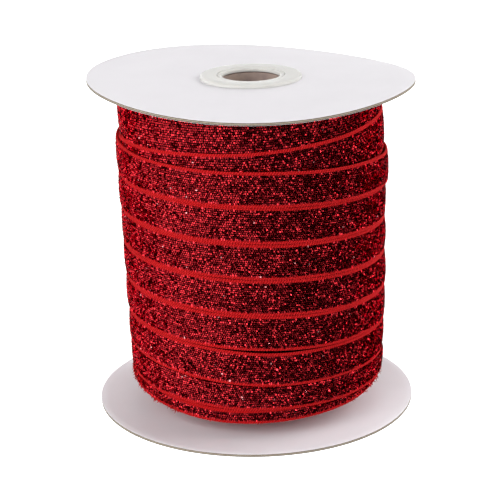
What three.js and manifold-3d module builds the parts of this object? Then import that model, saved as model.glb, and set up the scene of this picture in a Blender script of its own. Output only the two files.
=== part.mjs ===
// A spool of glitter ribbon, standing on one end, in millimetres, +Z up.
// Two card flanges sit on the ends of a card tube, each under a moulded plastic hub ring, and a 10 mm
// ribbon is wound on the tube in side-by-side lanes. The origin is on the spool's axis, in the plane it
// stands on, and -Y is its front.
import * as THREE from "three";
import { mergeVertices } from "three/addons/utils/BufferGeometryUtils.js";
import Module from "manifold-3d";

// Driving dimensions
const FLANGE_DIAMETER = 89; // a 3 1/2 inch card disc
const CARD_THICKNESS = 0.8;
const FLANGE_SPAN = 92; // over the outer faces of the two flanges
const RIBBON_WIDTH = 10; // 3/8 inch nominal
const BORE_DIAMETER = 15.7; // 5/8 inch spindle
const HUB_DIAMETER = 27.7;
const HUB_PROUD = 1; // how far a hub stands out of its flange
const TUBE_WALL = 1.6;
const SEAT_GAP = 0.3; // between pieces that rest on each other

// The hub's inside, as depths below its flange's outer face
const LIP_DEPTH = 0.05; // the lip that shows inside the bore, on the tube's end
const SKIRT_DEPTH = 7; // the skirt that grips the tube
const SKIRT_WALL = 0.8;

// The spool's radii and levels
const FLANGE_RADIUS = FLANGE_DIAMETER / 2;
const BORE_RADIUS = BORE_DIAMETER / 2;
const HUB_RADIUS = HUB_DIAMETER / 2;
const TUBE_INNER_RADIUS = BORE_RADIUS + 0.15;
const TUBE_OUTER_RADIUS = TUBE_INNER_RADIUS + TUBE_WALL;
const SKIRT_INNER_RADIUS = TUBE_OUTER_RADIUS + SEAT_GAP;
const SKIRT_OUTER_RADIUS = SKIRT_INNER_RADIUS + SKIRT_WALL;
const CARD_HOLE_RADIUS = SKIRT_OUTER_RADIUS + SEAT_GAP;
const LOWER_CARD_BASE = HUB_PROUD;
const LOWER_CARD_TOP = LOWER_CARD_BASE + CARD_THICKNESS;
const UPPER_CARD_TOP = LOWER_CARD_BASE + FLANGE_SPAN;
const UPPER_CARD_BASE = UPPER_CARD_TOP - CARD_THICKNESS;

// Facets round the axis
const DISC_SEGMENTS = 72;
const HUB_SEGMENTS = 40;
const STEPS_PER_TURN = 40; // of the wound ribbon

const wasm = await Module();
wasm.setup();

function material(colour, roughness, metalness = 0) {
  return new THREE.MeshStandardMaterial({ color: colour, roughness, metalness });
}

const MATERIALS = {
  card: material(0xe9e6e8, 0.75),
  kraft: material(0x7d6f66, 0.9),
  plastic: material(0xe8e8e4, 0.35),
  ribbon: material(0xa8101c, 0.45, 0.3),
};

function mesh(name, geometry, look) {
  const made = new THREE.Mesh(geometry, look);
  made.name = name;
  return made;
}

// A closed [radius, height] outline, listed anticlockwise, turned about the axis.
function turned(outline, segments) {
  const points = [...outline, outline[0]].map(([radius, height]) => new THREE.Vector2(radius, height));
  return new THREE.LatheGeometry(points, segments).rotateX(Math.PI / 2);
}

// A quarter of an ellipse in an outline, anticlockwise from the given number of degrees.
function quarterRound(centreRadius, centreHeight, reachOut, reachUp, fromDegrees, steps) {
  return Array.from({ length: steps + 1 }, (_, i) => {
    const angle = THREE.MathUtils.degToRad(fromDegrees + (90 * i) / steps);
    return [centreRadius + reachOut * Math.cos(angle), centreHeight + reachUp * Math.sin(angle)];
  });
}

function toSolid(geometry) {
  const bare = geometry.clone();
  bare.deleteAttribute("normal");
  bare.deleteAttribute("uv");
  const merged = mergeVertices(bare, 1e-4);
  return new wasm.Manifold(
    new wasm.Mesh({
      numProp: 3,
      vertProperties: new Float32Array(merged.attributes.position.array),
      triVerts: new Uint32Array(merged.index.array),
    }),
  );
}

function toGeometry(solid) {
  const { vertProperties, triVerts } = solid.getMesh();
  const geometry = new THREE.BufferGeometry();
  geometry.setAttribute("position", new THREE.BufferAttribute(vertProperties, 3));
  geometry.setIndex(new THREE.BufferAttribute(triVerts, 1));
  geometry.computeVertexNormals();
  return geometry;
}

// How far the upper card's rim has bent from flat: a tilt, a saddle and a three-lobed wave. Angles run
// anticlockwise from +X. The hub holds the card flat, and it bends more and more towards its rim.
const RIM_WAVES = [
  { lobes: 1, cosine: -1.07, sine: 0.35 },
  { lobes: 2, cosine: 0.74, sine: -0.57 },
  { lobes: 3, cosine: 0.16, sine: -0.36 },
];
const BEND_POWER = 1.6;

function cardBend(x, y) {
  const angle = Math.atan2(y, x);
  const share = Math.max(0, (Math.hypot(x, y) - HUB_RADIUS) / (FLANGE_RADIUS - HUB_RADIUS));
  let rim = 0;
  for (const { lobes, cosine, sine } of RIM_WAVES) {
    rim += cosine * Math.cos(lobes * angle) + sine * Math.sin(lobes * angle);
  }
  return rim * share ** BEND_POWER;
}

// A card disc with its hole, its lower face at the height base, on rings at the given radii.
function cardDisc(base, rings) {
  const outline = [
    ...rings.map((radius) => [radius, base]),
    ...rings.toReversed().map((radius) => [radius, base + CARD_THICKNESS]),
  ];
  return turned(outline, DISC_SEGMENTS);
}

function lowerFlange() {
  return cardDisc(LOWER_CARD_BASE, [CARD_HOLE_RADIUS, FLANGE_RADIUS]);
}

function upperFlange() {
  const geometry = cardDisc(UPPER_CARD_BASE, [CARD_HOLE_RADIUS, HUB_RADIUS, 21, 28, 34, 39.5, FLANGE_RADIUS]);
  const place = geometry.attributes.position;
  for (let i = 0; i < place.count; i++) {
    place.setZ(i, place.getZ(i) + cardBend(place.getX(i), place.getY(i)));
  }
  geometry.computeVertexNormals();
  return geometry;
}

// The moulded hub, drawn with its flange's outer face at height 0 and outwards up: a flat ring with a
// rounded rim, a step down to the lip that is rounded into the bore, and a skirt that goes through the
// card and grips the tube.
const RIM_ROUND = { out: 0.75, up: 0.6 };
const LIP_SHOULDER = 1.25; // from the bore to the step
const LIP_STEP = { out: 0.15, down: 0.12 };
const LIP_ROUND = { out: 0.55, up: 0.5 };

function hubRing() {
  const lipEdge = BORE_RADIUS + LIP_SHOULDER - LIP_STEP.out;
  const lipTop = HUB_PROUD - LIP_STEP.down;
  const outline = [
    [BORE_RADIUS, -LIP_DEPTH],
    [SKIRT_INNER_RADIUS, -LIP_DEPTH],
    [SKIRT_INNER_RADIUS, -SKIRT_DEPTH],
    [SKIRT_OUTER_RADIUS, -SKIRT_DEPTH],
    [SKIRT_OUTER_RADIUS, SEAT_GAP],
    [HUB_RADIUS, SEAT_GAP],
    ...quarterRound(HUB_RADIUS - RIM_ROUND.out, HUB_PROUD - RIM_ROUND.up, RIM_ROUND.out, RIM_ROUND.up, 0, 3),
    [BORE_RADIUS + LIP_SHOULDER, HUB_PROUD],
    [lipEdge, lipTop],
    ...quarterRound(BORE_RADIUS + LIP_ROUND.out, lipTop - LIP_ROUND.up, LIP_ROUND.out, LIP_ROUND.up, 90, 3),
  ];
  return turned(outline, HUB_SEGMENTS);
}

function coreTube() {
  const low = LOWER_CARD_BASE + LIP_DEPTH + SEAT_GAP;
  const high = UPPER_CARD_TOP - LIP_DEPTH - SEAT_GAP;
  const outline = [
    [TUBE_INNER_RADIUS, low],
    [TUBE_OUTER_RADIUS, low],
    [TUBE_OUTER_RADIUS, high],
    [TUBE_INNER_RADIUS, high],
  ];
  return turned(outline, HUB_SEGMENTS);
}

// The wound ribbon. Turns are counted along it: a whole number is at the front, and it goes round by +X,
// +Y and -X. It climbs at the top of the layer below, turns back behind the spool and comes down again as
// the outer layer. Each row has the height of its upper edge there, and its depth below the outer layer.
const WINDING = [
  { turn: -1.5, edge: 76.2, drop: 0.6 },
  { turn: -1.25, edge: 79.6, drop: 0.55 },
  { turn: -1, edge: 81.9, drop: 0.5 },
  { turn: -0.81, edge: 85.2, drop: 0.5 },
  { turn: -0.64, edge: 86.6, drop: 0.4 },
  { turn: -0.5, edge: 85, drop: 0.2 },
  { turn: -0.25, edge: 79.2, drop: 0 },
  { turn: 0, edge: 76.7, drop: 0 },
  { turn: 1, edge: 67.2, drop: 0 },
  { turn: 2, edge: 57.2, drop: 0 },
  { turn: 3, edge: 47.4, drop: 0 },
  { turn: 4, edge: 37.5, drop: 0 },
  { turn: 5, edge: 27.2, drop: 0 },
  { turn: 6, edge: 17.8, drop: 0 },
  { turn: 7, edge: 10.3, drop: 0 },
  { turn: 8, edge: 7, drop: 0 },
];
const TURN_BACK = -0.6; // behind the spool
const LANE_GROOVE = 0.35; // between neighbouring lanes

// The last turn of the layer below hangs at the bottom, lowest at the front: height of its lower edge.
const LOWEST_TURN = [
  { turn: -0.5, edge: 11, drop: 0.4 },
  { turn: -0.25, edge: 10, drop: 0.4 },
  { turn: -0.16, edge: 9, drop: 0.4 },
  { turn: -0.11, edge: 7.6, drop: 0.4 },
  { turn: -0.06, edge: 6.5, drop: 0.4 },
  { turn: 0.02, edge: 6.4, drop: 0.4 },
  { turn: 0.12, edge: 7.3, drop: 0.4 },
  { turn: 0.2, edge: 7.6, drop: 0.4 },
  { turn: 0.3, edge: 8.8, drop: 0.4 },
  { turn: 0.5, edge: 11, drop: 0.4 },
];
const LOWEST_WIDTH = 7; // the rest of it is under the outer layer

// A column of one of these tables between its rows.
function between(table, column, turn) {
  const lastPair = table.length - 2;
  const row = Math.min(lastPair, Math.max(0, table.findLastIndex((entry) => entry.turn <= turn)));
  const [before, after] = [table[row], table[row + 1]];
  const share = (turn - before.turn) / (after.turn - before.turn);
  return THREE.MathUtils.lerp(before[column], after[column], share);
}

const upperEdge = (turn) => between(WINDING, "edge", turn) - LANE_GROOVE / 2;

// A lane reaches down to the next one, but no further than its own width.
function lowerEdge(turn) {
  const ownEdge = upperEdge(turn) + LANE_GROOVE - RIBBON_WIDTH;
  return turn < TURN_BACK ? ownEdge : Math.max(ownEdge, upperEdge(turn + 1) + LANE_GROOVE);
}

// The section of one lane: x across it from -1, its lower edge, to 1, and y out from the layer below.
const ROOT = 0.6; // how deep it goes into that layer
const RIBBON_STAND = 0.55; // how far its edges stand out
const LANE_CROWN = 0.45; // how far its middle stands above its edges
const LANE_SECTION = [
  { across: -1, out: -ROOT },
  { across: 1, out: -ROOT },
  { across: 1, out: RIBBON_STAND },
  { across: 0.72, out: RIBBON_STAND + LANE_CROWN * 0.6 },
  { across: 0.2, out: RIBBON_STAND + LANE_CROWN },
  { across: -0.35, out: RIBBON_STAND + LANE_CROWN * 0.95 },
  { across: -0.8, out: RIBBON_STAND + LANE_CROWN * 0.5 },
  { across: -1, out: RIBBON_STAND },
];

// The pack is a little thicker towards the top: radius of the layer below the outer one.
const PACK_RADIUS_AT_BASE = 34.5;
const PACK_TAPER = 0.02;
const packRadius = (height) => PACK_RADIUS_AT_BASE + PACK_TAPER * height;

// Both ends of a lane go down under its neighbours.
const SINK_TURNS = 0.1;
const SINK_DEPTH = 1.3;

// Extrudes the lane's section straight, one unit of depth for each turn, and winds it on the pack.
function woundLane({ from, to, upper, lower, drop }) {
  const section = new THREE.Shape(LANE_SECTION.map(({ across, out }) => new THREE.Vector2(across, out)));
  const steps = Math.round((to - from) * STEPS_PER_TURN);
  const lane = new THREE.ExtrudeGeometry(section, { depth: to - from, steps, bevelEnabled: false });
  const place = lane.attributes.position;
  for (let i = 0; i < place.count; i++) {
    const turn = from + place.getZ(i);
    const middle = (upper(turn) + lower(turn)) / 2;
    const halfWidth = (upper(turn) - lower(turn)) / 2;
    const shareOfSink = Math.max(0, 1 - Math.min(turn - from, to - turn) / SINK_TURNS);
    const radius = packRadius(middle) - drop(turn) - SINK_DEPTH * shareOfSink ** 2 + place.getY(i);
    const angle = turn * 2 * Math.PI;
    place.setXYZ(i, radius * Math.sin(angle), -radius * Math.cos(angle), middle + place.getX(i) * halfWidth);
  }
  return toSolid(lane);
}

// The layers below, as one turned form on the tube and the hubs' skirts: square under the upper flange,
// and drawn in at the bottom, where the winding stops short of the lower flange.
function innerLayers() {
  const roundSkirt = SKIRT_OUTER_RADIUS + SEAT_GAP;
  const roundTube = TUBE_OUTER_RADIUS + SEAT_GAP;
  const lowSkirtEnd = LOWER_CARD_BASE + SKIRT_DEPTH + SEAT_GAP;
  const highSkirtEnd = UPPER_CARD_TOP - SKIRT_DEPTH - SEAT_GAP;
  const outline = [
    [roundSkirt, LOWER_CARD_TOP + SEAT_GAP],
    [17, LOWER_CARD_TOP + SEAT_GAP],
    [22, 4.8],
    [28, 7.2],
    [33, 8.9],
    [packRadius(10), 10.4],
    [packRadius(89), 89],
    [packRadius(90) - 1, 90.3],
    [28, UPPER_CARD_BASE - 0.9],
    [roundSkirt, UPPER_CARD_BASE - SEAT_GAP],
    [roundSkirt, highSkirtEnd],
    [roundTube, highSkirtEnd],
    [roundTube, lowSkirtEnd],
    [roundSkirt, lowSkirtEnd],
  ];
  return toSolid(turned(outline, STEPS_PER_TURN));
}

function ribbonRoll() {
  const windingDrop = (turn) => between(WINDING, "drop", turn);
  const winding = { upper: upperEdge, lower: lowerEdge, drop: windingDrop };
  const climbing = woundLane({ from: -1.45, to: TURN_BACK + SINK_TURNS, ...winding });
  const outer = woundLane({ from: TURN_BACK - SINK_TURNS, to: 6.6, ...winding });
  const lowest = woundLane({
    from: -0.5,
    to: 0.5,
    upper: (turn) => between(LOWEST_TURN, "edge", turn) + LOWEST_WIDTH,
    lower: (turn) => between(LOWEST_TURN, "edge", turn),
    drop: (turn) => between(LOWEST_TURN, "drop", turn),
  });
  return toGeometry(innerLayers().add(climbing).add(lowest).add(outer));
}

const spool = new THREE.Group();
spool.add(mesh("flange_lower", lowerFlange(), MATERIALS.card));
spool.add(mesh("flange_upper", upperFlange(), MATERIALS.card));
spool.add(mesh("core_tube", coreTube(), MATERIALS.kraft));
spool.add(mesh("ribbon_roll", ribbonRoll(), MATERIALS.ribbon));

const upperHub = mesh("hub_upper", hubRing(), MATERIALS.plastic);
upperHub.position.z = UPPER_CARD_TOP;
spool.add(upperHub);

const lowerHub = mesh("hub_lower", hubRing(), MATERIALS.plastic);
lowerHub.position.z = LOWER_CARD_BASE;
lowerHub.rotation.x = Math.PI; // the same hub, turned over
spool.add(lowerHub);

export default spool;
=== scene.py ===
"""A spool of red glitter ribbon, standing on one end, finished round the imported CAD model.

Everything is modelled in millimetres, +Z up with -Y the front, as the CAD source has it, and turned to
metres as each piece is finished. The ribbon is made flat, as it comes off the loom, and then wound on.
"""

import math
import random

import bmesh
import bpy
import numpy as np
from mathutils import Matrix, Vector, noise

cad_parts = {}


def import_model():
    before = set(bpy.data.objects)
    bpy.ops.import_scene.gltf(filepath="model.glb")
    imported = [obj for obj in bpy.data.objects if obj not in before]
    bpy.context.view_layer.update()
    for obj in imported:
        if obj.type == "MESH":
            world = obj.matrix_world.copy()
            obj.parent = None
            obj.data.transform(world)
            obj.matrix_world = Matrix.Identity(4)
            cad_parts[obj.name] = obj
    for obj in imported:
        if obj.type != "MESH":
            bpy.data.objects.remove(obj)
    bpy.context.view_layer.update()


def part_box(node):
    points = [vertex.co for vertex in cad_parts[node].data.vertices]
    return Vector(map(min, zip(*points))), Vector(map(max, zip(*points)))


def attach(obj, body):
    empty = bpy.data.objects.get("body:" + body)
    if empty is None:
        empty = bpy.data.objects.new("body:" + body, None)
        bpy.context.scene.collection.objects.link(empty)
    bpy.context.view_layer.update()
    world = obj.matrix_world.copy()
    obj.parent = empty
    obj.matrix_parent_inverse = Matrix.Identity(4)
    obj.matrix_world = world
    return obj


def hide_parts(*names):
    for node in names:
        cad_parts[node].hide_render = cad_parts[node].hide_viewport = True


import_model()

MM = 0.001
SHARP_EDGE = math.radians(40)  # smooth shading stops at edges that turn more than this


def box_in_mm(node):
    """A CAD node's lowest and highest corners, in millimetres."""
    return [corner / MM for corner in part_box(node)]


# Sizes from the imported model
lower_card_low, lower_card_high = box_in_mm("flange_lower")
upper_hub_high = box_in_mm("hub_upper")[1]
tube_low, tube_high = box_in_mm("core_tube")
FLANGE_RADIUS = lower_card_high.x
LOWER_CARD_BASE = lower_card_low.z
CARD_THICKNESS = lower_card_high.z - lower_card_low.z
HUB_RADIUS = upper_hub_high.x
HUB_PROUD = LOWER_CARD_BASE
UPPER_CARD_TOP = upper_hub_high.z - HUB_PROUD
TUBE_OUTER_RADIUS = tube_high.x

# Sizes that the model's boxes don't tell, as in the CAD source
SEAT_GAP = 0.3  # between pieces that rest on each other
BORE_RADIUS = 7.85
TUBE_INNER_RADIUS = 8.0
SKIRT_INNER_RADIUS = 9.9
SKIRT_OUTER_RADIUS = 10.7
SKIRT_DEPTH = 7
LIP_DEPTH = 0.05
CARD_HOLE_RADIUS = 11.0

# The card discs
DISC_SEGMENTS = 256
LINER = 0.05  # the white paper on each face of the greyboard
BOARD_PLY = 0.22  # the darker outer ply of the board, under each liner, whose dark colour is also painted shade at the cut edge's top and bottom
BOARD_SET_BACK = 0.03  # the cut board stands back from the liners' edges
LINER_BURR = 0.02  # how far the cut has pressed a liner over the board
CARD_EDGE_ROUND = 0.04
CARD_RINGS = 14
RIM_WAVES = [(1, -1.07, 0.35), (2, 0.74, -0.57), (3, 0.16, -0.36)]  # lobes, cosine and sine parts
BEND_POWER = 1.6

# The hub rings
HUB_SEGMENTS = 160
RIM_REST = 0.04  # how close the rim lies to the card
RIM_ROUND = 0.68
LIP_SHOULDER = 1.5  # width of the lip round the bore, up to the step
LIP_STEP = 0.12
STEP_ROUND = 0.12
LIP_GROOVE = 0.22
GROOVE_EDGES = (0.08, 0.25, 0.45)  # from the step in: the groove's wall, its floor and its slope
LIP_ROUND = 0.5

# The tube
TUBE_EDGE_ROUND = 0.1

# The ribbon, flat
CELL = 0.6  # from one float of foil to the next, along the ribbon
CORDS = 3  # in each selvedge
CORD = 0.28
SELVEDGE = CORDS * CORD
CORD_RISE = 0.16
TWIST_RISE = 0.045
RIBBON_WIDTH = 10
BODY_ROWS = 14  # of floats between the selvedges
FOIL_GAP = 0.12  # round each float
FOIL_RISE = 0.07
FOIL_LEAN = 0.23  # spread of the floats' lean, as a slope
RIPPLE_LEAN = 0.25  # lean that neighbours share, where the ribbon ripples
RIPPLE_ALONG = 4
RIPPLE_ACROSS = 2.5
FOIL_LIFT = (-0.02, 0.05)
FOIL_LENGTH = (0.7, 1.05)  # of a float, as a share of its place in the weave
FOIL_WIDTH = (0.6, 1)
FOIL_STAGGER = 0.12  # each row of floats to one side or the other
FOIL_SLIP_ALONG = 0.09
FOIL_SLIP_ACROSS = 0.08
SPILL_SHARE = 0.6  # of the floats at the body's edges lie on the selvedge
SPILL = (0.1, 0.36)
SPILL_RISE = 0.1
DULLEST_FOIL = 0.15  # the foil attribute of the floats runs from here to 1; faces left at 0 take painted shade
PALE_GLINT_SHARE = 0.005  # of the floats are painted pale pink, as painted glints
PALE_GLINT = 2  # how the foil attribute marks them
RIBBON_THICKNESS = 0.36

# The ribbon, wound
PACK_RADIUS_AT_BASE = 34.5
PACK_TAPER = 0.02
RIBBON_STAND = 0.55  # how far a lane's edges stand out from the layer below
LANE_CROWN = 0.4  # how far its middle stands above its edges
CROWN_POWER = 2.6
CELLS_PER_TURN = round(2 * math.pi * (PACK_RADIUS_AT_BASE + 1.9) / CELL)
SINK_TURNS = 0.1  # a lane's ends go down under their neighbours over this share of a turn
SINK_DEPTH = 1.3
TUCK_DEPTH = 0.8  # how far a lane's upper edge goes in where it lies under the lane above
TUCK_WIDTH = 1.0
TUCK_AT_EDGE = 0.6  # the share of it that is done where the lane above ends
EASE_TURNS = 0.04  # the tables below are eased over this much to each side
EASE_STEPS = 9
# Small waves of a lane as it lies, none a whole number in a turn, so that no turn repeats the last.
HEIGHT_WAVES = [(0.07, 3.1, 1), (0.05, 7.3, 0)]  # rows: how far, how many in a turn, and where it starts
RADIUS_WAVES = [(0.06, 5.3, 4), (0.05, 9.1, -3)]  # rows: how far, how many in a turn, and its slant

# Turns are counted along the ribbon: a whole number is at the front, and it goes round by +X, +Y and -X.
# Rows: turn, height of the upper edge, width, and depth below the outer layer.
WINDING = [
    (-1.6, 74.0, 9.9, 0.6),
    (-1.5, 75.4, 9.9, 0.6),
    (-1.25, 78.8, 9.9, 0.55),
    (-1.12, 80.5, 9.9, 0.55),
    (-1, 81.55, 9.9, 0.5),
    (-0.9, 83, 10.1, 0.7),
    (-0.81, 85.1, 11.8, 0.95),
    (-0.7, 86.2, 12, 0.9),
    (-0.64, 86.6, 11.6, 0.7),
    (-0.5, 84.3, 10.2, 0.2),
    (-0.35, 80.2, 9.6, -0.3),
    (-0.25, 78.2, 9.2, -0.3),
    (-0.16, 77.6, 9.2, -0.2),
    (0, 76.7, 9.45, -0.4),
    (0.16, 74.9, 9.2, -0.5),
    (0.25, 73.2, 8.9, -0.5),
    (0.5, 71.7, 9.6, -0.3),
    (1, 67.15, 9.9, 0),
    (2, 57.15, 9.7, 0),
    (3, 47.35, 9.8, -0.13),
    (4, 37.45, 9.8, -0.1),
    (4.9, 28.55, 9.6, 0),
    (5, 26.75, 9.5, 0.1),
    (5.16, 25.9, 9.5, 0.15),
    (6, 20, 9.7, 0.12),
    (7, 17.5, 9.7, 0.12),
]
WINDING_ENDS = (-1.45, 6.7)
PIECE_CUTS = [WINDING_ENDS[0], 1.27, 3.98, WINDING_ENDS[1]]  # turns at which it is cut in pieces
TUCKED_FROM = 4.5  # from this turn on it lies under the lane above
# The last turn of the layer below hangs at the bottom, lowest at the front.
LOWEST_TURN = [
    (-0.6, 14.7, 4.2, 0.4),
    (-0.5, 14.7, 4.2, 0.4),
    (-0.25, 13.5, 4.2, 0.4),
    (-0.16, 12.4, 4.2, 0.4),
    (-0.11, 11.2, 4.2, 0.4),
    (-0.06, 10.3, 4.1, 0.4),
    (0.02, 10.3, 4.1, 0.4),
    (0.12, 11.4, 4, 0.4),
    (0.17, 12.1, 4, 0.5),
    (0.21, 13.1, 4, 0.6),
    (0.3, 14.1, 4.2, 0.6),
    (0.5, 14.7, 4.2, 0.4),
    (0.6, 14.7, 4.2, 0.4),
]
LOWEST_ENDS = (-0.5, 0.5)
LOWEST_WIDTH = 4  # what shows of its width
LOWEST_ROWS = 4
OUTER_FROM_LOWEST = 6  # turns from the lowest turn to the outer layer over it
# The layer that the winding has left at the top, and what shows of a layer below at the back.
TOP_LAYER = [
    (-0.6, 90.6, 10.6, 0),
    (-0.25, 89.4, 10.6, 0),
    (0, 90.6, 10.6, 0),
    (0.12, 90.8, 10.2, 0.5),
    (0.35, 90.8, 10.2, 0.5),
    (0.6, 90.8, 10.2, 0.2),
]
TOP_ENDS = (-0.6, 0.6)
TOP_PIECE = (-0.5, 0.53)  # what is made of it, the rest being covered
TOP_LAYER_DROP = 1.05  # how far it lies below the outer layer
LAYER_BEHIND = [(0, 81.3, 9.8, 0), (1, 81.3, 9.8, 0)]
BEHIND_ENDS = (0.25, 0.75)
LAYER_BEHIND_DROP = 0.9
# The layers below, turned as one. Rows of the lower end: radius and height. Rows of the wall: height, how
# far it stands in from the outer layer, and the height at which that is measured.
LAYER_SEGMENTS = 192
SEATED_RADIUS = 17  # the lower end rests on the card up to here
LOWER_END = [(22, 4.8), (28, 7.2), (33, 8.9)]
WALL = [(10.4, 0.3, 10), (77, 0.5, 77), (79, 1.8, 79), (89, 1.8, 89), (90.3, 2.2, 90)]
WALL_RADIUS = 35  # about, for the wall's foil and its map
UPPER_END = (28, 91.0)
UPPER_END_INSIDE = 91.4
# Where the selvedges of single layers show. Rows: edge of the outline, and the rings that it is cut into.
LAYER_RINGS = [(1, 15), (2, 23), (3, 29), (4, 25), (5, 9), (10, 27), (11, 83)]
RING_DEPTH = 0.35  # two layers in four stand back by this
RING_UNEVEN = 0.25  # and each one by up to this
# Where the lower turns are frayed. Rows: from turn, to turn, and the number of ends.
FRAYED = [(-0.3, -0.1, 240), (-0.1, 0.12, 20), (0.12, 0.27, 110)]
FRAY_HEIGHT = (0.3, 1.6)  # above the lowest edge, as a middle and a spread
FRAY_ROOT = 0.5  # how far out from the layer below
FRAY_OUTWARD = (0.5, 1)  # the parts of an end's direction: outwards, between two values
FRAY_ALONG = (0, 0.8)  # along the ribbon and up, as a middle and a spread
FRAY_UP = (-0.6, 0.4)
FRAY_LENGTH = (0.4, 0.95)
FRAY_RADIUS = (0.1, 0.22)
FRAY_TIP = 0.015
# The pack leans a little from its axis. Rows: height, and how far it stands to +X there.
LEAN = [(6, 0.3), (11, 0.4), (15, 0.5), (30, 0.45), (38, 0.35), (48, 0.15), (56, 0), (76, 0), (84, -0.3)]

# The room that the foil mirrors, with directions as parts to +X, +Y and +Z
WINDOW_TOWARDS = (-0.91, 0.42, 0)
WINDOW_FULL = 0.35  # its light is full from this cosine on
WINDOW_STRENGTH = 0.98
DARK_TOWARDS = (0.54, -0.78, -0.31)
DARK_FROM = 0.5  # cosines between which the dark corner sets in
DARK_FULL = 0.95
DARK_DEPTH = -0.12  # what it takes from the noise that makes the panes
PANE_NOISE = 6  # its scale
PANE_FROM = 0.575  # values of the noise between which a pane lights up
PANE_FULL = 0.61
PANE_STRENGTH = 3.3
DIM_MIRRORED = 0.03  # what the rest of the room adds in the foil
DIM_ROOM = 0.05  # and what it gives to all that isn't mirrored
ROLL_MIDDLE = Vector((0, 0, 0.05))  # metres, where the lights point

# The photograph's view, in metres and degrees
SENSOR_WIDTH = 36
LENS = 122.49
CAMERA_PLACE = (0, -0.4524, 0.1944)
CAMERA_DOWN = 18.42
CAMERA_ASIDE = -0.14
CAMERA_ROLL = -1.07


# Materials

# The sockets of a mix of colours, whose names its other kinds share
MIX_FIRST, MIX_SECOND, MIX_RESULT = 6, 7, 2


def linear(hex_colour):
    """An sRGB hex colour as linear RGBA."""
    channels = [int(hex_colour[i : i + 2], 16) / 255 for i in (1, 3, 5)]
    return [c / 12.92 if c <= 0.04045 else ((c + 0.055) / 1.055) ** 2.4 for c in channels] + [1]


def add_node(tree, kind, inputs=None, **settings):
    """Adds a node to tree. An input is a value, or the output that feeds it."""
    made = tree.nodes.new(kind)
    for name, value in settings.items():
        setattr(made, name, value)
    for name, value in (inputs or {}).items():
        if isinstance(value, bpy.types.NodeSocket):
            tree.links.new(value, made.inputs[name])
        else:
            made.inputs[name].default_value = value
    return made


def new_material(name):
    """A material and its emptied node tree."""
    material = bpy.data.materials.new(name)
    material.use_nodes = True
    material.node_tree.nodes.clear()
    return material, material.node_tree


def finish_material(tree, inputs, bump=None):
    """Closes a tree with a Principled shader. bump is a height output and its depth in metres."""
    if bump:
        height, depth = bump
        relief = add_node(tree, "ShaderNodeBump", {"Height": height, "Distance": depth, "Strength": 1})
        inputs = {**inputs, "Normal": relief.outputs["Normal"]}
    shader = add_node(tree, "ShaderNodeBsdfPrincipled", inputs)
    add_node(tree, "ShaderNodeOutputMaterial", {"Surface": shader.outputs["BSDF"]})


def grain_scale(size):
    """The scale of a noise whose grains are about size millimetres, on a place in metres."""
    return 0.5 / (size * MM)


def mottled(tree, place, size, dark, light):
    """A colour that drifts between two, in flecks of about size millimetres."""
    flecks = add_node(
        tree, "ShaderNodeTexNoise", {"Vector": place, "Scale": grain_scale(size), "Detail": 3}
    ).outputs["Fac"]
    return add_node(
        tree,
        "ShaderNodeMix",
        {"Factor": flecks, MIX_FIRST: linear(dark), MIX_SECOND: linear(light)},
        data_type="RGBA",
    ).outputs[MIX_RESULT]


def foil_yarn():
    """Slit polyester foil, metallised and lacquered red, woven in flat. Each float is a small mirror that
    leans its own way, so under a soft light some flash and the rest go nearly black. A few floats are pale
    pink, as painted glints, and the faces round the floats take a near-black red as painted shade."""
    material, tree = new_material("lacquered_foil_yarn")
    foil = add_node(tree, "ShaderNodeAttribute", attribute_name="foil").outputs["Fac"]
    # The foil value mixes a near-black red and a bright red. Floats take a random tone between; faces with
    # no value, round the floats and on the layers' wall, take the near-black red as painted shade.
    lacquer = add_node(
        tree,
        "ShaderNodeMix",
        {"Factor": foil, MIX_FIRST: linear("#2C0205"), MIX_SECOND: linear("#F23842")},
        data_type="RGBA",
    ).outputs[MIX_RESULT]
    # Floats with the glint mark take a pale pink base: painted glints that stand in for white highlights.
    worn = add_node(
        tree, "ShaderNodeMath", {0: foil, 1: (1 + PALE_GLINT) / 2}, operation="GREATER_THAN"
    ).outputs[0]
    colour = add_node(
        tree,
        "ShaderNodeMix",
        {"Factor": worn, MIX_FIRST: lacquer, MIX_SECOND: linear("#EC9294")},
        data_type="RGBA",
    ).outputs[MIX_RESULT]
    finish_material(
        tree,
        {
            "Base Color": colour,
            "Metallic": 1,
            "Roughness": 0.2,
            "Specular Tint": linear("#FF9EA4"),
        },
    )
    return material


def wave_scale(pitch):
    """The scale at which the bands of a wave come once in each pitch of its map."""
    return 2 * math.pi / 20 / pitch


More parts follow.
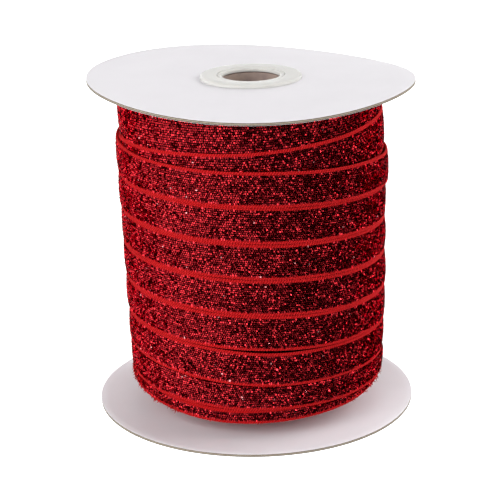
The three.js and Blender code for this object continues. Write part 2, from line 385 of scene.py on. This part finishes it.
def selvedge_yarn():
    """Dyed spun polyester, woven plain as three cords: matt, with painted shade between the cords, and with
    the twist of its plies in slanting ticks of bump and painted shade. The ticks are drawn coarser than the
    real twist, so that they show."""
    material, tree = new_material("dyed_polyester_cord")
    tick_pitch = 0.6
    tick_slant = math.radians(35)
    flat = add_node(tree, "ShaderNodeUVMap", uv_map="flat").outputs["UV"]
    slanted = add_node(
        tree, "ShaderNodeMapping", {"Vector": flat, "Rotation": (0, 0, tick_slant)}
    ).outputs["Vector"]
    ticks = add_node(
        tree,
        "ShaderNodeTexWave",
        {"Vector": slanted, "Scale": wave_scale(tick_pitch), "Distortion": 1.2},
        bands_direction="X",
    ).outputs["Fac"]
    cord_valley_shade = add_node(
        tree,
        "ShaderNodeTexWave",
        {"Vector": flat, "Scale": wave_scale(CORD), "Distortion": 0.4},
        bands_direction="Y",
    ).outputs["Fac"]
    place = add_node(tree, "ShaderNodeTexCoord").outputs["Object"]
    dye = mottled(tree, place, 0.5, "#B81216", "#E8383A")
    # Painted shade in the grooves of the ply twist: the ticks darken the dye.
    dye_and_ply_shade = add_node(
        tree,
        "ShaderNodeMix",
        {"Factor": ticks, MIX_FIRST: linear("#7C080A"), MIX_SECOND: dye},
        data_type="RGBA",
    ).outputs[MIX_RESULT]
    # Painted shade in the valleys between the cords.
    colour = add_node(
        tree,
        "ShaderNodeMix",
        {"Factor": cord_valley_shade, MIX_FIRST: linear("#9C0A0D"), MIX_SECOND: dye_and_ply_shade},
        data_type="RGBA",
    ).outputs[MIX_RESULT]
    finish_material(
        tree, {"Base Color": colour, "Roughness": 0.85, "Specular IOR Level": 0.05}, (ticks, 0.00008)
    )
    return material


def coated_paper():
    """White clay-coated liner paper, calendered: a smooth, even, faintly lavender white."""
    material, tree = new_material("coated_liner_paper")
    place = add_node(tree, "ShaderNodeTexCoord").outputs["Object"]
    clouding = mottled(tree, place, 6, "#E6E3E7", "#EDEAEE")
    tooth = add_node(
        tree, "ShaderNodeTexNoise", {"Vector": place, "Scale": grain_scale(0.25), "Detail": 3}
    ).outputs["Fac"]
    finish_material(tree, {"Base Color": clouding, "Roughness": 0.5}, (tooth, 0.00001))
    return material


def greyboard(name, dark, light):
    """Pressed waste-paper board, die cut: the cut edge shows rough grey-brown fibres in plies."""
    material, tree = new_material(name)
    place = add_node(tree, "ShaderNodeTexCoord").outputs["Object"]
    colour = mottled(tree, place, 0.35, dark, light)
    fibres = add_node(
        tree, "ShaderNodeTexNoise", {"Vector": place, "Scale": grain_scale(0.35), "Detail": 3}
    ).outputs["Fac"]
    finish_material(tree, {"Base Color": colour, "Roughness": 0.9}, (fibres, 0.00008))
    return material


def kraft_tube_paper():
    """Raw kraft paper wound in a spiral and glued: grey-brown, matt, with a seam at each turn."""
    material, tree = new_material("spiral_wound_kraft")
    place = add_node(tree, "ShaderNodeTexCoord").outputs["Object"]
    xyz = add_node(tree, "ShaderNodeSeparateXYZ", {"Vector": place}).outputs
    round_tube = add_node(
        tree, "ShaderNodeMath", {0: xyz["Y"], 1: xyz["X"]}, operation="ARCTAN2"
    ).outputs[0]
    ply_width = 0.03  # metres along the tube for each turn of the spiral
    seam_share = 0.03  # of the ply's width
    along = add_node(
        tree, "ShaderNodeMath", {0: xyz["Z"], 1: 1 / ply_width}, operation="MULTIPLY"
    ).outputs[0]
    spiral = add_node(
        tree,
        "ShaderNodeMath",
        {0: round_tube, 1: 0.5 / math.pi, 2: along},
        operation="MULTIPLY_ADD",
    ).outputs[0]
    share = add_node(tree, "ShaderNodeMath", {0: spiral}, operation="FRACT").outputs[0]
    seam = add_node(tree, "ShaderNodeMath", {0: share, 1: seam_share}, operation="LESS_THAN").outputs[0]
    paper = mottled(tree, place, 1.6, "#75666A", "#BBA594")
    colour = add_node(
        tree,
        "ShaderNodeMix",
        {"Factor": seam, MIX_FIRST: paper, MIX_SECOND: linear("#5E5048")},
        data_type="RGBA",
    ).outputs[MIX_RESULT]
    fibres = add_node(
        tree, "ShaderNodeTexNoise", {"Vector": place, "Scale": grain_scale(0.3), "Detail": 3}
    ).outputs["Fac"]
    finish_material(tree, {"Base Color": colour, "Roughness": 0.85}, (fibres, 0.00005))
    return material


def moulded_polypropylene():
    """Natural polypropylene, injection moulded: milky and softly glossy, with light going a little in."""
    material, tree = new_material("moulded_polypropylene")
    place = add_node(tree, "ShaderNodeTexCoord").outputs["Object"]
    colour = mottled(tree, place, 4, "#D0CFCB", "#D9D7D2")
    moulding = add_node(
        tree, "ShaderNodeTexNoise", {"Vector": place, "Scale": grain_scale(0.6), "Detail": 3}
    ).outputs["Fac"]
    finish_material(
        tree,
        {
            "Base Color": colour,
            "Roughness": 0.27,
            "IOR": 1.49,
            "Specular IOR Level": 0.35,
            "Subsurface Weight": 0.5,
            "Subsurface Radius": (1, 0.95, 0.9),
            "Subsurface Scale": 0.0012,
        },
        (moulding, 0.00001),
    )
    return material


def pale_floor():
    """Plain white studio paper, lit until it is white all over."""
    material, tree = new_material("studio_paper")
    place = add_node(tree, "ShaderNodeTexCoord").outputs["Object"]
    colour = mottled(tree, place, 40, "#F9F9F9", "#FBFBFB")
    finish_material(
        tree,
        {
            "Base Color": colour,
            "Roughness": 0.9,
            "Emission Color": linear("#FFFFFF"),
            "Emission Strength": 0.8,
        },
    )
    return material


FOIL = foil_yarn()
CORD_YARN = selvedge_yarn()
LINER_PAPER = coated_paper()
# The outer ply's darker colour is partly painted shade along the top and bottom of the cut edge.
OUTER_PLY_AND_SHADE = greyboard("greyboard_outer_ply_and_shade", "#443C30", "#625848")
BOARD = greyboard("greyboard_middle_ply", "#7C7262", "#9C9282")
KRAFT = kraft_tube_paper()
PLASTIC = moulded_polypropylene()


# Making pieces


def finish_piece(name, bm, materials, slot, *nodes, reshape=None):
    """Turns a bmesh in millimetres into a piece of the object. reshape works on its points as an array."""
    mesh = bpy.data.meshes.new(name)
    bm.to_mesh(mesh)
    bm.free()
    if reshape:
        points = np.empty(len(mesh.vertices) * 3)
        mesh.vertices.foreach_get("co", points)
        mesh.vertices.foreach_set("co", reshape(points.reshape(-1, 3)).ravel())
    mesh.transform(Matrix.Scale(MM, 4))
    for material in materials:
        mesh.materials.append(material)
    mesh.validate()
    piece = bpy.data.objects.new(name, mesh)
    bpy.context.scene.collection.objects.link(piece)
    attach(piece, "root")
    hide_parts(*nodes)
    return piece


def shade_smooth(piece):
    piece.data.shade_smooth()
    piece.data.set_sharp_from_angle(angle=SHARP_EDGE)


def turned(outline, segments, cuts=()):
    """A closed outline of (radius, height) turned about the axis. cuts are pairs: an edge's number, which
    is that of the corner it ends at, and how often it is cut."""
    bm = bmesh.new()
    corners = [bm.verts.new((radius, 0, height)) for radius, height in outline]
    edges = [bm.edges.new((corner, corners[i - 1])) for i, corner in enumerate(corners)]
    for edge, number in cuts:
        bmesh.ops.subdivide_edges(bm, edges=[edges[edge]], cuts=number)
    bmesh.ops.spin(
        bm,
        geom=bm.verts[:] + bm.edges[:],
        cent=(0, 0, 0),
        axis=(0, 0, 1),
        angle=2 * math.pi,
        steps=segments,
        use_merge=True,
    )
    bmesh.ops.recalc_face_normals(bm, faces=bm.faces[:])
    return bm


def radius_of(point):
    return math.hypot(point.x, point.y)


def ring_edges(bm, radius, height):
    """The edges of a turned form that lie on one circle."""
    return [
        edge
        for edge in bm.edges
        if all(
            abs(radius_of(v.co) - radius) < 0.01 and abs(v.co.z - height) < 0.01 for v in edge.verts
        )
    ]


def round_ring(bm, radius, height, offset, segments):
    """Rounds the corner on one circle of a turned form."""
    bmesh.ops.bevel(
        bm,
        geom=ring_edges(bm, radius, height),
        offset=offset,
        segments=segments,
        profile=0.5,
        affect="EDGES",
        material=-1,
    )


# The flanges


def card_bend(x, y):
    """How far the upper card stands above its plane: it dips at the front and lifts at the sides."""
    angle = math.atan2(y, x)
    share = max(0, (math.hypot(x, y) - HUB_RADIUS) / (FLANGE_RADIUS - HUB_RADIUS))
    rim = sum(c * math.cos(lobes * angle) + s * math.sin(lobes * angle) for lobes, c, s in RIM_WAVES)
    return rim * share**BEND_POWER


def card_disc(name, node, base, bent):
    """A die-cut disc of greyboard with white paper on both faces."""
    top = base + CARD_THICKNESS
    board_radius = FLANGE_RADIUS - BOARD_SET_BACK
    lower_half = [
        (CARD_HOLE_RADIUS, base),
        (FLANGE_RADIUS, base),
        (FLANGE_RADIUS, base + LINER),
        (board_radius, base + LINER + LINER_BURR),
        (board_radius, base + LINER + BOARD_PLY),
    ]
    upper_half = [(radius, base + top - height) for radius, height in reversed(lower_half)]
    last_edge = len(lower_half + upper_half) - 1
    bm = turned(lower_half + upper_half, DISC_SEGMENTS, [(1, CARD_RINGS), (last_edge, CARD_RINGS)])
    for height in (base, top):
        round_ring(bm, FLANGE_RADIUS, height, CARD_EDGE_ROUND, 2)
    for face in bm.faces:
        from_face = min(face.calc_center_median().z - base, top - face.calc_center_median().z)
        face.material_index = int(from_face > LINER) + int(from_face > LINER + BOARD_PLY)
    if bent:
        for vert in bm.verts:
            vert.co.z += card_bend(vert.co.x, vert.co.y)
    shade_smooth(finish_piece(name, bm, [LINER_PAPER, OUTER_PLY_AND_SHADE, BOARD], "card", node))


# The hub rings and the tube


def hub_ring(name, node, upper):
    """A moulded ring with a rounded rim, a stepped and rounded lip inside, and a skirt over the tube."""
    step_radius = BORE_RADIUS + LIP_SHOULDER
    lip_top = HUB_PROUD - LIP_STEP
    groove_wall, groove_floor, groove_slope = (step_radius - inwards for inwards in GROOVE_EDGES)
    outline = [
        (BORE_RADIUS, -LIP_DEPTH),
        (SKIRT_INNER_RADIUS, -LIP_DEPTH),
        (SKIRT_INNER_RADIUS, -SKIRT_DEPTH),
        (SKIRT_OUTER_RADIUS, -SKIRT_DEPTH),
        (SKIRT_OUTER_RADIUS, RIM_REST),
        (HUB_RADIUS, RIM_REST),
        (HUB_RADIUS, HUB_PROUD),
        (step_radius, HUB_PROUD),
        (groove_wall, lip_top - LIP_GROOVE),
        (groove_floor, lip_top - LIP_GROOVE),
        (groove_slope, lip_top),
        (BORE_RADIUS, lip_top),
    ]
    bm = turned(outline, HUB_SEGMENTS)
    round_ring(bm, HUB_RADIUS, HUB_PROUD, RIM_ROUND, 6)
    round_ring(bm, BORE_RADIUS, lip_top, LIP_ROUND, 6)
    round_ring(bm, step_radius, HUB_PROUD, STEP_ROUND, 3)
    if upper:
        place = Matrix.Translation((0, 0, UPPER_CARD_TOP))
    else:
        place = Matrix.Translation((0, 0, LOWER_CARD_BASE)) @ Matrix.Rotation(math.pi, 4, "X")
    bm.transform(place)
    shade_smooth(finish_piece(name, bm, [PLASTIC], "hub_plastic", node))


def kraft_tube():
    outline = [
        (TUBE_INNER_RADIUS, tube_low.z),
        (TUBE_OUTER_RADIUS, tube_low.z),
        (TUBE_OUTER_RADIUS, tube_high.z),
        (TUBE_INNER_RADIUS, tube_high.z),
    ]
    bm = turned(outline, HUB_SEGMENTS)
    for radius in (TUBE_INNER_RADIUS, TUBE_OUTER_RADIUS):
        for height in (tube_low.z, tube_high.z):
            round_ring(bm, radius, height, TUBE_EDGE_ROUND, 2)
    shade_smooth(finish_piece("kraft_tube", bm, [KRAFT], "kraft_tube", "core_tube"))


# The ribbon


def pack_radius(height):
    """The radius of the layers below the outer one."""
    return PACK_RADIUS_AT_BASE + PACK_TAPER * height


def lines_across(rows, row_height):
    """Place across the ribbon and rise of each line along it: a selvedge of cords, the body, a selvedge.
    A cord is a low line and two shoulders."""
    cords = []
    for cord in range(CORDS):
        cords += [(cord * CORD, 0), ((cord + 0.25) * CORD, CORD_RISE), ((cord + 0.75) * CORD, CORD_RISE)]
    body = [(SELVEDGE + row * row_height, 0) for row in range(rows + 1)]
    width = 2 * SELVEDGE + rows * row_height
    return cords + body + [(width - across, rise) for across, rise in reversed(cords)]


def flat_ribbon(cells, rows, row_height, rng):
    """A flat, closed length of ribbon: x along it, y across it from its lower edge and z out of its face,
    all in millimetres."""
    lines = lines_across(rows, row_height)
    last_line = len(lines) - 1
    bm = bmesh.new()
    foil = bm.faces.layers.float.new("foil")
    bmesh.ops.create_grid(bm, x_segments=cells, y_segments=last_line, size=0.5)
    twist = [0, TWIST_RISE, -TWIST_RISE]
    for vert in bm.verts:
        column = round((vert.co.x + 0.5) * cells)
        line = round((vert.co.y + 0.5) * last_line)
        across, rise = lines[line]
        if rise:
            up_or_down = twist[line % 3] if line < last_line / 2 else twist[(last_line - line) % 3]
            rise += up_or_down * (-1) ** column
        vert.co = (column * CELL, across, rise)
    body_low, body_high = SELVEDGE, SELVEDGE + rows * row_height
    floats = []
    for face in bm.faces:
        in_body = body_low < face.calc_center_median().y < body_high
        face.material_index = int(not in_body)
        face.smooth = not in_body
        if in_body:
            floats.append(face)
    close_back(bm)
    # The rims that the inset makes keep a foil value of 0: painted shade between the floats.
    bmesh.ops.inset_individual(bm, faces=floats, thickness=FOIL_GAP, depth=FOIL_RISE)
    lean_floats(floats, foil, body_low, body_high, row_height, rng)
    return bm


def close_back(bm):
    """Gives an open strip its thickness: sides, a plain back and two ends."""
    rim = [edge for edge in bm.edges if edge.is_boundary]
    turned_in = bmesh.ops.extrude_edge_only(bm, edges=rim)["geom"]
    for vert in (item for item in turned_in if isinstance(item, bmesh.types.BMVert)):
        vert.co.z = -RIBBON_THICKNESS
    back_rim = [item for item in turned_in if isinstance(item, bmesh.types.BMEdge) and item.is_boundary]
    long_sides = [edge for edge in back_rim if abs(edge.verts[0].co.x - edge.verts[1].co.x) > CELL / 2]
    bmesh.ops.bridge_loops(bm, edges=long_sides)
    ends = [edge for edge in bm.edges if edge.is_boundary]
    bmesh.ops.holes_fill(bm, edges=ends)
    bmesh.ops.recalc_face_normals(bm, faces=bm.faces[:])
    for face in bm.faces:
        if face.normal.z < 0.5:
            face.material_index = 1


def lean_floats(floats, foil, body_low, body_high, row_height, rng):
    """Leans each float of foil its own way, and lets some at the body's edges lie on the selvedge."""
    seed = rng.random() * 100
    other_ripple = Vector((0, 0, 9))
    for face in floats:
        middle = face.calc_center_median()
        ripple = Vector((middle.x / RIPPLE_ALONG, middle.y / RIPPLE_ACROSS, seed))
        lean_along = rng.gauss(0, FOIL_LEAN) + RIPPLE_LEAN * noise.noise(ripple)
        lean_across = rng.gauss(0, FOIL_LEAN) + RIPPLE_LEAN * noise.noise(ripple + other_ripple)
        lift = rng.uniform(*FOIL_LIFT)
        shorter = rng.uniform(*FOIL_LENGTH)
        narrower = rng.uniform(*FOIL_WIDTH)
        row = round((middle.y - body_low) / row_height - 0.5)
        aside = rng.uniform(-FOIL_SLIP_ALONG, FOIL_SLIP_ALONG) + FOIL_STAGGER * (-1) ** row
        above = rng.uniform(-FOIL_SLIP_ACROSS, FOIL_SLIP_ACROSS)
        spill = 0
        if middle.y - body_low < row_height and rng.random() < SPILL_SHARE:
            spill = -rng.uniform(*SPILL)
        elif body_high - middle.y < row_height and rng.random() < SPILL_SHARE:
            spill = rng.uniform(*SPILL)
        for vert in face.verts:
            along, across = vert.co.x - middle.x, vert.co.y - middle.y
            vert.co.z += lift + along * lean_along + across * lean_across
            vert.co.x = middle.x + along * shorter + aside
            vert.co.y = middle.y + across * narrower + above
            if spill * across > 0:
                vert.co.y += spill
                vert.co.z += SPILL_RISE
        # A few floats get the glint mark: painted glints in pale pink.
        if rng.random() < PALE_GLINT_SHARE:
            face[foil] = PALE_GLINT
        else:
            face[foil] = DULLEST_FOIL + (1 - DULLEST_FOIL) * rng.random()


def from_table(table, column, turn):
    """A column of a winding table at each turn, with its corners eased."""
    turns = [row[0] for row in table]
    values = [row[column] for row in table]
    shifts = np.linspace(-EASE_TURNS, EASE_TURNS, EASE_STEPS)
    eased = [np.interp(turn + shift, turns, values) for shift in shifts]
    return np.mean(eased, axis=0)


def smooth_step(share):
    share = np.clip(share, 0, 1)
    return share * share * (3 - 2 * share)


def wind(table, first_turn, lane_from, lane_to, width, extra_drop=0, tuck_above=None):
    """Returns what winds a flat ribbon on the pack, from first_turn. lane_from and lane_to are where the
    whole lane starts and ends, and goes down under its neighbours. tuck_above gives the height over which
    its upper edge goes in."""

    def reshape(points):
        turn = first_turn + points[:, 0] / CELL / CELLS_PER_TURN
        upper = from_table(table, 1, turn)
        lane_width = from_table(table, 2, turn)
        lower = upper - lane_width
        share = points[:, 1] / width
        height = lower + lane_width * share
        to_end = np.minimum(turn - lane_from, lane_to - turn)
        sink = SINK_DEPTH * np.clip(1 - to_end / SINK_TURNS, 0, 1) ** 2
        crown = LANE_CROWN * (1 - np.abs(2 * share - 1) ** CROWN_POWER)
        radius = pack_radius((upper + lower) / 2) + RIBBON_STAND + crown + points[:, 2]
        radius -= from_table(table, 3, turn) + extra_drop + sink
        if tuck_above:
            radius -= TUCK_DEPTH * smooth_step((height - tuck_above(turn)) / TUCK_WIDTH + TUCK_AT_EDGE)
        angle = 2 * math.pi * turn
        for far, in_a_turn, start in HEIGHT_WAVES:
            height = height + far * np.sin(in_a_turn * angle + start)
        for far, in_a_turn, slant in RADIUS_WAVES:
            radius = radius + far * np.sin(in_a_turn * angle + slant * share)
        lean = np.interp(height, *zip(*LEAN))
        return np.stack([radius * np.sin(angle) + lean, -radius * np.cos(angle), height], axis=1)

    return reshape


def map_flat(piece, points):
    """Keeps the ribbon's flat place as a UV map in millimetres, for what follows the weave."""
    layer = piece.data.uv_layers.new(name="flat")
    corners = np.empty(len(piece.data.loops), dtype=np.int32)
    piece.data.loops.foreach_get("vertex_index", corners)
    layer.uv.foreach_set("vector", points[corners][:, :2].astype(np.float32).ravel())


def wound_ribbon(name, piece_ends, lane_ends, table, rows, width, rng, **laid):
    """One piece of wound ribbon. The ends are turns, those of the piece and of the lane that it is part of.
    rows is how many floats of foil lie across it, and laid holds what only some lanes need."""
    first_turn, last_turn = piece_ends
    cells = round((last_turn - first_turn) * CELLS_PER_TURN)
    row_height = (width - 2 * SELVEDGE) / rows
    bm = flat_ribbon(cells, rows, row_height, rng)
    flat = np.array([vert.co[:] for vert in bm.verts])
    piece = finish_piece(
        name,
        bm,
        [FOIL, CORD_YARN],
        "ribbon",
        "ribbon_roll",
        reshape=wind(table, first_turn, *lane_ends, width, **laid),
    )
    map_flat(piece, flat)


def lower_edge(turn):
    """The lower edge of the winding at a turn."""
    return from_table(WINDING, 1, turn) - from_table(WINDING, 2, turn)


def lane_above(turn):
    """The lower edge of the lane above, one turn back, where the winding is tucked under it."""
    nothing_above = 1000
    return np.where(turn > TUCKED_FROM, lower_edge(turn - 1), nothing_above)


def outer_layer(turn):
    """The lower edge of the outer layer over the lowest turn."""
    return lower_edge(turn + OUTER_FROM_LOWEST)


def ribbon_lanes():
    rng = random.Random(11)
    whole = {"rows": BODY_ROWS, "width": RIBBON_WIDTH, "rng": rng}
    half_hidden = {"rows": LOWEST_ROWS, "width": LOWEST_WIDTH, "rng": rng}
    names = ["ribbon_upper_turns", "ribbon_middle_turns", "ribbon_lower_turns"]
    for name, piece_ends in zip(names, zip(PIECE_CUTS, PIECE_CUTS[1:])):
        wound_ribbon(name, piece_ends, WINDING_ENDS, WINDING, tuck_above=lane_above, **whole)
    wound_ribbon(
        "ribbon_lowest_turn", LOWEST_ENDS, LOWEST_ENDS, LOWEST_TURN, tuck_above=outer_layer, **half_hidden
    )
    wound_ribbon("ribbon_top_layer", TOP_PIECE, TOP_ENDS, TOP_LAYER, extra_drop=TOP_LAYER_DROP, **whole)
    wound_ribbon(
        "ribbon_layer_behind",
        BEHIND_ENDS,
        BEHIND_ENDS,
        LAYER_BEHIND,
        extra_drop=LAYER_BEHIND_DROP,
        **whole,
    )


def frayed_edge():
    """Cut ends of foil and yarn that stick out of the lower turns, where the ribbon is worn."""
    rng = random.Random(3)
    bm = bmesh.new()
    for first, last, number in FRAYED:
        for _ in range(number):
            turn = rng.uniform(first, last)
            angle = 2 * math.pi * turn
            low = from_table(LOWEST_TURN, 1, turn) - from_table(LOWEST_TURN, 2, turn)
            low = min(low, outer_layer(turn))
            height = low + abs(rng.gauss(*FRAY_HEIGHT))
            out = Vector((math.sin(angle), -math.cos(angle), 0))
            along = Vector((math.cos(angle), math.sin(angle), 0))
            root = out * (pack_radius(height) + FRAY_ROOT)
            root += Vector((from_table(LEAN, 1, height), 0, height))
            points_to = out * rng.uniform(*FRAY_OUTWARD) + along * rng.gauss(*FRAY_ALONG)
            points_to.z = rng.gauss(*FRAY_UP)
            length = rng.uniform(*FRAY_LENGTH)
            stood = points_to.to_track_quat("Z", "Y").to_matrix().to_4x4()
            bmesh.ops.create_cone(
                bm,
                cap_ends=True,
                segments=3,
                radius1=rng.uniform(*FRAY_RADIUS),
                radius2=FRAY_TIP,
                depth=length,
                matrix=Matrix.Translation(root + points_to.normalized() * length / 2) @ stood,
            )
    piece = finish_piece("ribbon_frayed_edge", bm, [CORD_YARN], "ribbon", "ribbon_roll")
    map_flat(piece, np.array([(v.co.x / MM, v.co.z / MM, 0) for v in piece.data.vertices]))


def ribbon_layers():
    """The layers below, whose selvedges lie edge to edge in the pack's two ends."""
    round_skirt = SKIRT_OUTER_RADIUS + SEAT_GAP
    round_tube = TUBE_OUTER_RADIUS + SEAT_GAP
    low_skirt_end = LOWER_CARD_BASE + SKIRT_DEPTH + SEAT_GAP
    high_skirt_end = UPPER_CARD_TOP - SKIRT_DEPTH - SEAT_GAP
    on_lower_card = LOWER_CARD_BASE + CARD_THICKNESS + SEAT_GAP
    outline = [
        (round_skirt, on_lower_card),
        (SEATED_RADIUS, on_lower_card),
        *LOWER_END,
        *[(pack_radius(measured_at) - inwards, height) for height, inwards, measured_at in WALL],
        UPPER_END,
        (round_skirt, UPPER_END_INSIDE),
        (round_skirt, high_skirt_end),
        (round_tube, high_skirt_end),
        (round_tube, low_skirt_end),
        (round_skirt, low_skirt_end),
    ]
    margin = 0.1
    wall_low, wall_high = WALL[0][0], WALL[-1][0]
    halfway = (wall_low + wall_high) / 2
    bm = turned(outline, LAYER_SEGMENTS, LAYER_RINGS)
    rng = random.Random(5)
    depth_at = {}
    for vert in bm.verts:
        radius = radius_of(vert.co)
        at_end = vert.co.z < wall_low - margin or vert.co.z > wall_high - margin
        if at_end and radius > round_skirt + margin:
            ring = round(radius, 2)
            if ring not in depth_at:
                depth_at[ring] = (RING_DEPTH if len(depth_at) % 4 < 2 else 0) + rng.uniform(0, RING_UNEVEN)
            vert.co.z += depth_at[ring] * (1 if vert.co.z < halfway else -1)
    for face in bm.faces:
        face.smooth = False
        # The wall gets the foil without a foil value, so the near-black red: painted shade where it shows
        # between lanes.
        on_wall = radius_of(face.calc_center_median()) > WALL_RADIUS - 1 and abs(face.normal.z) < 0.1
        face.material_index = int(on_wall)
    piece = finish_piece("ribbon_inner_layers", bm, [CORD_YARN, FOIL], "ribbon", "ribbon_roll")
    points = [vert.co for vert in piece.data.vertices]
    map_flat(piece, np.array([(math.atan2(p.y, p.x) * WALL_RADIUS, p.z / MM, 0) for p in points]))


# The studio


def floor():
    bm = bmesh.new()
    bmesh.ops.create_grid(bm, x_segments=1, y_segments=1, size=6)
    mesh = bpy.data.meshes.new("studio_floor")
    bm.to_mesh(mesh)
    bm.free()
    mesh.materials.append(pale_floor())
    ground = bpy.data.objects.new("studio_floor", mesh)
    bpy.context.scene.collection.objects.link(ground)
    ground.visible_glossy = False


def softbox(name, place, size, radiance, mirrored=False):
    """A rectangular area light in metres that faces the roll, as bright per unit of its face as radiance
    says. Only a mirrored one shows in what is shiny."""
    light = bpy.data.lights.new(name, "AREA")
    light.shape = "RECTANGLE"
    light.size, light.size_y = size
    light.energy = radiance * math.pi * size[0] * size[1]
    lamp = bpy.data.objects.new(name, light)
    lamp.location = place
    lamp.rotation_euler = (Vector(place) - ROLL_MIDDLE).to_track_quat("Z", "Y").to_euler()
    lamp.visible_glossy = mirrored
    bpy.context.scene.collection.objects.link(lamp)


def lights():
    softbox("window_left", (-0.9, -0.35, 0.34), (1.7, 1.2), 1.05)
    softbox("high_right", (1.0, 0.2, 0.44), (1.1, 1.1), 3.6)
    softbox("high_front", (-0.6, -0.85, 0.46), (1.1, 1.1), 2.9)
    softbox("high_back", (0.6, 0.9, 0.5), (1.0, 1.0), 1.7)
    softbox("sparkle", (0.25, -0.9, 0.6), (0.1, 0.1), 20, mirrored=True)
    softbox("glint_right", (0.95, -0.1, 0.4), (0.12, 0.12), 14, mirrored=True)
    softbox("glint_left", (-0.75, -0.6, 0.45), (0.15, 0.15), 5, mirrored=True)


def world():
    """The room that the foil mirrors: a broad window from the left to the back, and small bright panes in
    the dim rest of it. The camera sees plain white, and other light is dim."""
    made = bpy.data.worlds.new("studio")
    made.use_nodes = True
    tree = made.node_tree
    tree.nodes.clear()
    towards = add_node(tree, "ShaderNodeTexCoord").outputs["Generated"]
    facing_window = add_node(
        tree, "ShaderNodeVectorMath", {0: towards, 1: WINDOW_TOWARDS}, operation="DOT_PRODUCT"
    ).outputs["Value"]
    window = add_node(
        tree,
        "ShaderNodeMapRange",
        {"Value": facing_window, "From Min": 0, "From Max": WINDOW_FULL, "To Max": WINDOW_STRENGTH},
    ).outputs["Result"]
    facing_dark = add_node(
        tree, "ShaderNodeVectorMath", {0: towards, 1: DARK_TOWARDS}, operation="DOT_PRODUCT"
    ).outputs["Value"]
    dark_corner = add_node(
        tree,
        "ShaderNodeMapRange",
        {"Value": facing_dark, "From Min": DARK_FROM, "From Max": DARK_FULL, "To Max": DARK_DEPTH},
    ).outputs["Result"]
    patches = add_node(
        tree, "ShaderNodeTexNoise", {"Vector": towards, "Scale": PANE_NOISE, "Detail": 0}
    ).outputs["Fac"]
    share = add_node(tree, "ShaderNodeMath", {0: patches, 1: dark_corner}, operation="ADD").outputs[0]
    panes = add_node(
        tree,
        "ShaderNodeMapRange",
        {"Value": share, "From Min": PANE_FROM, "From Max": PANE_FULL, "To Max": PANE_STRENGTH},
    ).outputs["Result"]
    brightest = add_node(tree, "ShaderNodeMath", {0: window, 1: panes}, operation="MAXIMUM").outputs[0]
    mirrored = add_node(tree, "ShaderNodeMath", {0: brightest, 1: DIM_MIRRORED}, operation="ADD").outputs[0]
    path = add_node(tree, "ShaderNodeLightPath").outputs
    unseen = add_node(
        tree, "ShaderNodeMix", {"Factor": path["Is Glossy Ray"], "A": DIM_ROOM, "B": mirrored}
    ).outputs[0]
    strength = add_node(
        tree, "ShaderNodeMix", {"Factor": path["Is Camera Ray"], "A": unseen, "B": 1}
    ).outputs[0]
    light = add_node(
        tree, "ShaderNodeBackground", {"Color": linear("#FFFFFF"), "Strength": strength}
    ).outputs[0]
    add_node(tree, "ShaderNodeOutputWorld", {"Surface": light})
    bpy.context.scene.world = made


def camera():
    """The photograph's view: a long lens from in front and a little above, held almost level."""
    data = bpy.data.cameras.new("camera")
    data.sensor_width = SENSOR_WIDTH
    data.lens = LENS
    down, aside, roll = (math.radians(a) for a in (CAMERA_DOWN, CAMERA_ASIDE, CAMERA_ROLL))
    ahead = Vector((math.sin(aside) * math.cos(down), math.cos(aside) * math.cos(down), -math.sin(down)))
    level = ahead.cross(Vector((0, 0, 1))).normalized()
    upright = level.cross(ahead)
    right = math.cos(roll) * level + math.sin(roll) * upright
    up = math.cos(roll) * upright - math.sin(roll) * level
    seen = bpy.data.objects.new("camera", data)
    turn = Matrix((right, up, -ahead)).transposed()
    seen.matrix_world = Matrix.Translation(CAMERA_PLACE) @ turn.to_4x4()
    bpy.context.scene.collection.objects.link(seen)
    bpy.context.scene.camera = seen


camera()
card_disc("card_flange_lower", "flange_lower", LOWER_CARD_BASE, bent=False)
card_disc("card_flange_upper", "flange_upper", UPPER_CARD_TOP - CARD_THICKNESS, bent=True)
hub_ring("hub_ring_upper", "hub_upper", upper=True)
hub_ring("hub_ring_lower", "hub_lower", upper=False)
kraft_tube()
ribbon_layers()
ribbon_lanes()
frayed_edge()
floor()
lights()
world()
bpy.context.scene.view_settings.view_transform = "Standard"
